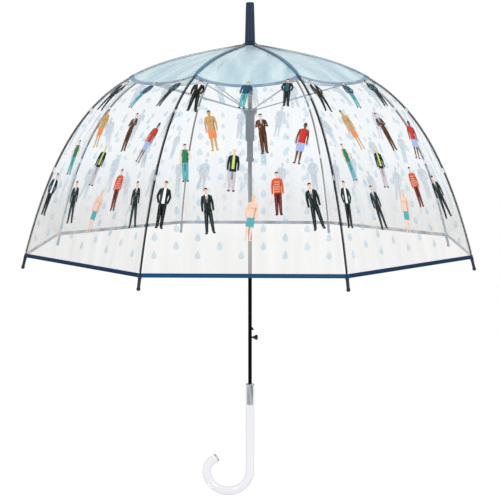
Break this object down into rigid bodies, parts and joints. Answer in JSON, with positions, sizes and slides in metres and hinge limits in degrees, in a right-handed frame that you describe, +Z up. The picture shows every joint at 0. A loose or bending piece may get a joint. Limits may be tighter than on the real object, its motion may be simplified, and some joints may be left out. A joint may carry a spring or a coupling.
{
  "type": "clear bubble umbrella",
  "caption": "Stick umbrella with a deep clear domed canopy on folding ribs, sliding runner, push-button catch, tapered top ferrule and a clear crook handle.",
  "frame": {"origin": "on the shaft axis inside the grip, where the hand holds it", "axes": "+Z up along the shaft to the ferrule; the handle's hook turns towards -X and the push button faces +X; one canopy panel faces -Y"},
  "size_m": [0.799, 0.799, 0.9404],
  "materials": {
    "black_steel": "gloss black lacquer",
    "bright_steel": "plain spring steel",
    "black_plastic": "moulded, satin gloss",
    "navy_plastic": "moulded, high gloss",
    "clear_film": "clear soft film, slightly milky",
    "clear_acrylic": "polished clear acrylic"
  },
  "bodies": {
    "frame": {"shaft_tube": "black_steel", "handle": "clear_acrylic", "ferrule": "navy_plastic", "crown_rosette": "navy_plastic", "top_notch": "black_plastic", "notch_wire": "bright_steel", "stop_sleeve": "black_plastic", "buffer_spring": "bright_steel"},
    "runner": {"runner": "black_plastic", "runner_wire": "bright_steel"},
    "catch": {"catch": "bright_steel"},
    "button": {"push_button": "black_plastic"},
    "rib_1": {"rib_upper_1": "black_steel"},
    "rib_end_1": {"rib_lower_1": "black_steel", "rib_tip_1": "navy_plastic"},
    "strut_1": {"stretcher_1": "black_steel"},
    "film_1": {"gore_upper_1": "clear_film"},
    "film_end_1": {"gore_lower_1": "clear_film"},
    "rib_2": {"rib_upper_2": "black_steel"},
    "rib_end_2": {"rib_lower_2": "black_steel", "rib_tip_2": "navy_plastic"},
    "strut_2": {"stretcher_2": "black_steel"},
    "film_2": {"gore_upper_2": "clear_film"},
    "film_end_2": {"gore_lower_2": "clear_film"},
    "rib_3": {"rib_upper_3": "black_steel"},
    "rib_end_3": {"rib_lower_3": "black_steel", "rib_tip_3": "navy_plastic"},
    "strut_3": {"stretcher_3": "black_steel"},
    "film_3": {"gore_upper_3": "clear_film"},
    "film_end_3": {"gore_lower_3": "clear_film"},
    "rib_4": {"rib_upper_4": "black_steel"},
    "rib_end_4": {"rib_lower_4": "black_steel", "rib_tip_4": "navy_plastic"},
    "strut_4": {"stretcher_4": "black_steel"},
    "film_4": {"gore_upper_4": "clear_film"},
    "film_end_4": {"gore_lower_4": "clear_film"},
    "rib_5": {"rib_upper_5": "black_steel"},
    "rib_end_5": {"rib_lower_5": "black_steel", "rib_tip_5": "navy_plastic"},
    "strut_5": {"stretcher_5": "black_steel"},
    "film_5": {"gore_upper_5": "clear_film"},
    "film_end_5": {"gore_lower_5": "clear_film"},
    "rib_6": {"rib_upper_6": "black_steel"},
    "rib_end_6": {"rib_lower_6": "black_steel", "rib_tip_6": "navy_plastic"},
    "strut_6": {"stretcher_6": "black_steel"},
    "film_6": {"gore_upper_6": "clear_film"},
    "film_end_6": {"gore_lower_6": "clear_film"},
    "rib_7": {"rib_upper_7": "black_steel"},
    "rib_end_7": {"rib_lower_7": "black_steel", "rib_tip_7": "navy_plastic"},
    "strut_7": {"stretcher_7": "black_steel"},
    "film_7": {"gore_upper_7": "clear_film"},
    "film_end_7": {"gore_lower_7": "clear_film"},
    "rib_8": {"rib_upper_8": "black_steel"},
    "rib_end_8": {"rib_lower_8": "black_steel", "rib_tip_8": "navy_plastic"},
    "strut_8": {"stretcher_8": "black_steel"},
    "film_8": {"gore_upper_8": "clear_film"},
    "film_end_8": {"gore_lower_8": "clear_film"}
  },
  "joints": [
    {"name": "runner_slide", "type": "slide", "parent": "frame", "child": "runner", "axis": [0, 0, -1], "range_m": [0, 0.32244], "stiffness_N_per_m": 30, "springref_m": -0.5},
    {"name": "button_press", "type": "slide", "parent": "frame", "child": "button", "axis": [-1, 0, 0], "range_m": [0, 0.0022], "stiffness_N_per_m": 400, "springref_m": -0.001},
    {"name": "catch_retract", "type": "slide", "parent": "frame", "child": "catch", "axis": [-1, 0, 0], "range_m": [0, 0.00361]},
    {"name": "rib_1_fold", "type": "hinge", "parent": "frame", "child": "rib_1", "pos_m": [0.0097, 0.00402, 0.718], "axis": [-0.3827, 0.9239, 0], "range_deg": [0, 65.79]},
    {"name": "rib_1_flex", "type": "hinge", "parent": "rib_1", "child": "rib_end_1", "pos_m": [0.26066, 0.10797, 0.62643], "axis": [-0.3827, 0.9239, 0], "range_deg": [-36.84, 0]},
    {"name": "stretcher_1_pivot", "type": "hinge", "parent": "rib_1", "child": "strut_1", "pos_m": [0.20649, 0.08553, 0.662], "axis": [-0.3827, 0.9239, 0], "range_deg": [-131.56, 0]},
    {"name": "gore_1_fold", "type": "hinge", "parent": "frame", "child": "film_1", "pos_m": [0.0115, 0, 0.7257], "axis": [0, 1, 0], "range_deg": [0, 63.4], "deforming": ["gore_upper_1"]},
    {"name": "gore_1_flex", "type": "hinge", "parent": "film_1", "child": "film_end_1", "pos_m": [0.26201, 0, 0.62808], "axis": [0, 1, 0], "range_deg": [-36.54, 0], "deforming": ["gore_lower_1"]},
    {"name": "rib_2_fold", "type": "hinge", "parent": "frame", "child": "rib_2", "pos_m": [0.00402, 0.0097, 0.718], "axis": [-0.9239, 0.3827, 0], "range_deg": [0, 65.79]},
    {"name": "rib_2_flex", "type": "hinge", "parent": "rib_2", "child": "rib_end_2", "pos_m": [0.10797, 0.26066, 0.62643], "axis": [-0.9239, 0.3827, 0], "range_deg": [-36.84, 0]},
    {"name": "stretcher_2_pivot", "type": "hinge", "parent": "rib_2", "child": "strut_2", "pos_m": [0.08553, 0.20649, 0.662], "axis": [-0.9239, 0.3827, 0], "range_deg": [-131.56, 0]},
    {"name": "gore_2_fold", "type": "hinge", "parent": "frame", "child": "film_2", "pos_m": [0.00813, 0.00813, 0.7257], "axis": [-0.7071, 0.7071, 0], "range_deg": [0, 63.4], "deforming": ["gore_upper_2"]},
    {"name": "gore_2_flex", "type": "hinge", "parent": "film_2", "child": "film_end_2", "pos_m": [0.18527, 0.18527, 0.62808], "axis": [-0.7071, 0.7071, 0], "range_deg": [-36.54, 0], "deforming": ["gore_lower_2"]},
    {"name": "rib_3_fold", "type": "hinge", "parent": "frame", "child": "rib_3", "pos_m": [-0.00402, 0.0097, 0.718], "axis": [-0.9239, -0.3827, 0], "range_deg": [0, 65.79]},
    {"name": "rib_3_flex", "type": "hinge", "parent": "rib_3", "child": "rib_end_3", "pos_m": [-0.10797, 0.26066, 0.62643], "axis": [-0.9239, -0.3827, 0], "range_deg": [-36.84, 0]},
    {"name": "stretcher_3_pivot", "type": "hinge", "parent": "rib_3", "child": "strut_3", "pos_m": [-0.08553, 0.20649, 0.662], "axis": [-0.9239, -0.3827, 0], "range_deg": [-131.56, 0]},
    {"name": "gore_3_fold", "type": "hinge", "parent": "frame", "child": "film_3", "pos_m": [0, 0.0115, 0.7257], "axis": [-1, 0, 0], "range_deg": [0, 63.4], "deforming": ["gore_upper_3"]},
    {"name": "gore_3_flex", "type": "hinge", "parent": "film_3", "child": "film_end_3", "pos_m": [0, 0.26201, 0.62808], "axis": [-1, 0, 0], "range_deg": [-36.54, 0], "deforming": ["gore_lower_3"]},
    {"name": "rib_4_fold", "type": "hinge", "parent": "frame", "child": "rib_4", "pos_m": [-0.0097, 0.00402, 0.718], "axis": [-0.3827, -0.9239, 0], "range_deg": [0, 65.79]},
    {"name": "rib_4_flex", "type": "hinge", "parent": "rib_4", "child": "rib_end_4", "pos_m": [-0.26066, 0.10797, 0.62643], "axis": [-0.3827, -0.9239, 0], "range_deg": [-36.84, 0]},
    {"name": "stretcher_4_pivot", "type": "hinge", "parent": "rib_4", "child": "strut_4", "pos_m": [-0.20649, 0.08553, 0.662], "axis": [-0.3827, -0.9239, 0], "range_deg": [-131.56, 0]},
    {"name": "gore_4_fold", "type": "hinge", "parent": "frame", "child": "film_4", "pos_m": [-0.00813, 0.00813, 0.7257], "axis": [-0.7071, -0.7071, 0], "range_deg": [0, 63.4], "deforming": ["gore_upper_4"]},
    {"name": "gore_4_flex", "type": "hinge", "parent": "film_4", "child": "film_end_4", "pos_m": [-0.18527, 0.18527, 0.62808], "axis": [-0.7071, -0.7071, 0], "range_deg": [-36.54, 0], "deforming": ["gore_lower_4"]},
    {"name": "rib_5_fold", "type": "hinge", "parent": "frame", "child": "rib_5", "pos_m": [-0.0097, -0.00402, 0.718], "axis": [0.3827, -0.9239, 0], "range_deg": [0, 65.79]},
    {"name": "rib_5_flex", "type": "hinge", "parent": "rib_5", "child": "rib_end_5", "pos_m": [-0.26066, -0.10797, 0.62643], "axis": [0.3827, -0.9239, 0], "range_deg": [-36.84, 0]},
    {"name": "stretcher_5_pivot", "type": "hinge", "parent": "rib_5", "child": "strut_5", "pos_m": [-0.20649, -0.08553, 0.662], "axis": [0.3827, -0.9239, 0], "range_deg": [-131.56, 0]},
    {"name": "gore_5_fold", "type": "hinge", "parent": "frame", "child": "film_5", "pos_m": [-0.0115, 0, 0.7257], "axis": [0, -1, 0], "range_deg": [0, 63.4], "deforming": ["gore_upper_5"]},
    {"name": "gore_5_flex", "type": "hinge", "parent": "film_5", "child": "film_end_5", "pos_m": [-0.26201, 0, 0.62808], "axis": [0, -1, 0], "range_deg": [-36.54, 0], "deforming": ["gore_lower_5"]},
    {"name": "rib_6_fold", "type": "hinge", "parent": "frame", "child": "rib_6", "pos_m": [-0.00402, -0.0097, 0.718], "axis": [0.9239, -0.3827, 0], "range_deg": [0, 65.79]},
    {"name": "rib_6_flex", "type": "hinge", "parent": "rib_6", "child": "rib_end_6", "pos_m": [-0.10797, -0.26066, 0.62643], "axis": [0.9239, -0.3827, 0], "range_deg": [-36.84, 0]},
    {"name": "stretcher_6_pivot", "type": "hinge", "parent": "rib_6", "child": "strut_6", "pos_m": [-0.08553, -0.20649, 0.662], "axis": [0.9239, -0.3827, 0], "range_deg": [-131.56, 0]},
    {"name": "gore_6_fold", "type": "hinge", "parent": "frame", "child": "film_6", "pos_m": [-0.00813, -0.00813, 0.7257], "axis": [0.7071, -0.7071, 0], "range_deg": [0, 63.4], "deforming": ["gore_upper_6"]},
    {"name": "gore_6_flex", "type": "hinge", "parent": "film_6", "child": "film_end_6", "pos_m": [-0.18527, -0.18527, 0.62808], "axis": [0.7071, -0.7071, 0], "range_deg": [-36.54, 0], "deforming": ["gore_lower_6"]},
    {"name": "rib_7_fold", "type": "hinge", "parent": "frame", "child": "rib_7", "pos_m": [0.00402, -0.0097, 0.718], "axis": [0.9239, 0.3827, 0], "range_deg": [0, 65.79]},
    {"name": "rib_7_flex", "type": "hinge", "parent": "rib_7", "child": "rib_end_7", "pos_m": [0.10797, -0.26066, 0.62643], "axis": [0.9239, 0.3827, 0], "range_deg": [-36.84, 0]},
    {"name": "stretcher_7_pivot", "type": "hinge", "parent": "rib_7", "child": "strut_7", "pos_m": [0.08553, -0.20649, 0.662], "axis": [0.9239, 0.3827, 0], "range_deg": [-131.56, 0]},
    {"name": "gore_7_fold", "type": "hinge", "parent": "frame", "child": "film_7", "pos_m": [0, -0.0115, 0.7257], "axis": [1, 0, 0], "range_deg": [0, 63.4], "deforming": ["gore_upper_7"]},
    {"name": "gore_7_flex", "type": "hinge", "parent": "film_7", "child": "film_end_7", "pos_m": [0, -0.26201, 0.62808], "axis": [1, 0, 0], "range_deg": [-36.54, 0], "deforming": ["gore_lower_7"]},
    {"name": "rib_8_fold", "type": "hinge", "parent": "frame", "child": "rib_8", "pos_m": [0.0097, -0.00402, 0.718], "axis": [0.3827, 0.9239, 0], "range_deg": [0, 65.79]},
    {"name": "rib_8_flex", "type": "hinge", "parent": "rib_8", "child": "rib_end_8", "pos_m": [0.26066, -0.10797, 0.62643], "axis": [0.3827, 0.9239, 0], "range_deg": [-36.84, 0]},
    {"name": "stretcher_8_pivot", "type": "hinge", "parent": "rib_8", "child": "strut_8", "pos_m": [0.20649, -0.08553, 0.662], "axis": [0.3827, 0.9239, 0], "range_deg": [-131.56, 0]},
    {"name": "gore_8_fold", "type": "hinge", "parent": "frame", "child": "film_8", "pos_m": [0.00813, -0.00813, 0.7257], "axis": [0.7071, 0.7071, 0], "range_deg": [0, 63.4], "deforming": ["gore_upper_8"]},
    {"name": "gore_8_flex", "type": "hinge", "parent": "film_8", "child": "film_end_8", "pos_m": [0.18527, -0.18527, 0.62808], "axis": [0.7071, 0.7071, 0], "range_deg": [-36.54, 0], "deforming": ["gore_lower_8"]}
  ],
  "couplings": [
    {"joint": "catch_retract", "follows": "button_press", "ratio": 1.636},
    {"joint": "rib_1_fold", "follows": "runner_slide", "rad_per_m": 3.56},
    {"joint": "rib_1_flex", "follows": "runner_slide", "rad_per_m": -1.993},
    {"joint": "stretcher_1_pivot", "follows": "runner_slide", "rad_per_m": -7.1201},
    {"joint": "gore_1_fold", "follows": "runner_slide", "rad_per_m": 3.4307},
    {"joint": "gore_1_flex", "follows": "runner_slide", "rad_per_m": -1.9768},
    {"joint": "rib_2_fold", "follows": "runner_slide", "rad_per_m": 3.56},
    {"joint": "rib_2_flex", "follows": "runner_slide", "rad_per_m": -1.993},
    {"joint": "stretcher_2_pivot", "follows": "runner_slide", "rad_per_m": -7.1201},
    {"joint": "gore_2_fold", "follows": "runner_slide", "rad_per_m": 3.4307},
    {"joint": "gore_2_flex", "follows": "runner_slide", "rad_per_m": -1.9768},
    {"joint": "rib_3_fold", "follows": "runner_slide", "rad_per_m": 3.56},
    {"joint": "rib_3_flex", "follows": "runner_slide", "rad_per_m": -1.993},
    {"joint": "stretcher_3_pivot", "follows": "runner_slide", "rad_per_m": -7.1201},
    {"joint": "gore_3_fold", "follows": "runner_slide", "rad_per_m": 3.4307},
    {"joint": "gore_3_flex", "follows": "runner_slide", "rad_per_m": -1.9768},
    {"joint": "rib_4_fold", "follows": "runner_slide", "rad_per_m": 3.56},
    {"joint": "rib_4_flex", "follows": "runner_slide", "rad_per_m": -1.993},
    {"joint": "stretcher_4_pivot", "follows": "runner_slide", "rad_per_m": -7.1201},
    {"joint": "gore_4_fold", "follows": "runner_slide", "rad_per_m": 3.4307},
    {"joint": "gore_4_flex", "follows": "runner_slide", "rad_per_m": -1.9768},
    {"joint": "rib_5_fold", "follows": "runner_slide", "rad_per_m": 3.56},
    {"joint": "rib_5_flex", "follows": "runner_slide", "rad_per_m": -1.993},
    {"joint": "stretcher_5_pivot", "follows": "runner_slide", "rad_per_m": -7.1201},
    {"joint": "gore_5_fold", "follows": "runner_slide", "rad_per_m": 3.4307},
    {"joint": "gore_5_flex", "follows": "runner_slide", "rad_per_m": -1.9768},
    {"joint": "rib_6_fold", "follows": "runner_slide", "rad_per_m": 3.56},
    {"joint": "rib_6_flex", "follows": "runner_slide", "rad_per_m": -1.993},
    {"joint": "stretcher_6_pivot", "follows": "runner_slide", "rad_per_m": -7.1201},
    {"joint": "gore_6_fold", "follows": "runner_slide", "rad_per_m": 3.4307},
    {"joint": "gore_6_flex", "follows": "runner_slide", "rad_per_m": -1.9768},
    {"joint": "rib_7_fold", "follows": "runner_slide", "rad_per_m": 3.56},
    {"joint": "rib_7_flex", "follows": "runner_slide", "rad_per_m": -1.993},
    {"joint": "stretcher_7_pivot", "follows": "runner_slide", "rad_per_m": -7.1201},
    {"joint": "gore_7_fold", "follows": "runner_slide", "rad_per_m": 3.4307},
    {"joint": "gore_7_flex", "follows": "runner_slide", "rad_per_m": -1.9768},
    {"joint": "rib_8_fold", "follows": "runner_slide", "rad_per_m": 3.56},
    {"joint": "rib_8_flex", "follows": "runner_slide", "rad_per_m": -1.993},
    {"joint": "stretcher_8_pivot", "follows": "runner_slide", "rad_per_m": -7.1201},
    {"joint": "gore_8_fold", "follows": "runner_slide", "rad_per_m": 3.4307},
    {"joint": "gore_8_flex", "follows": "runner_slide", "rad_per_m": -1.9768}
  ]
}
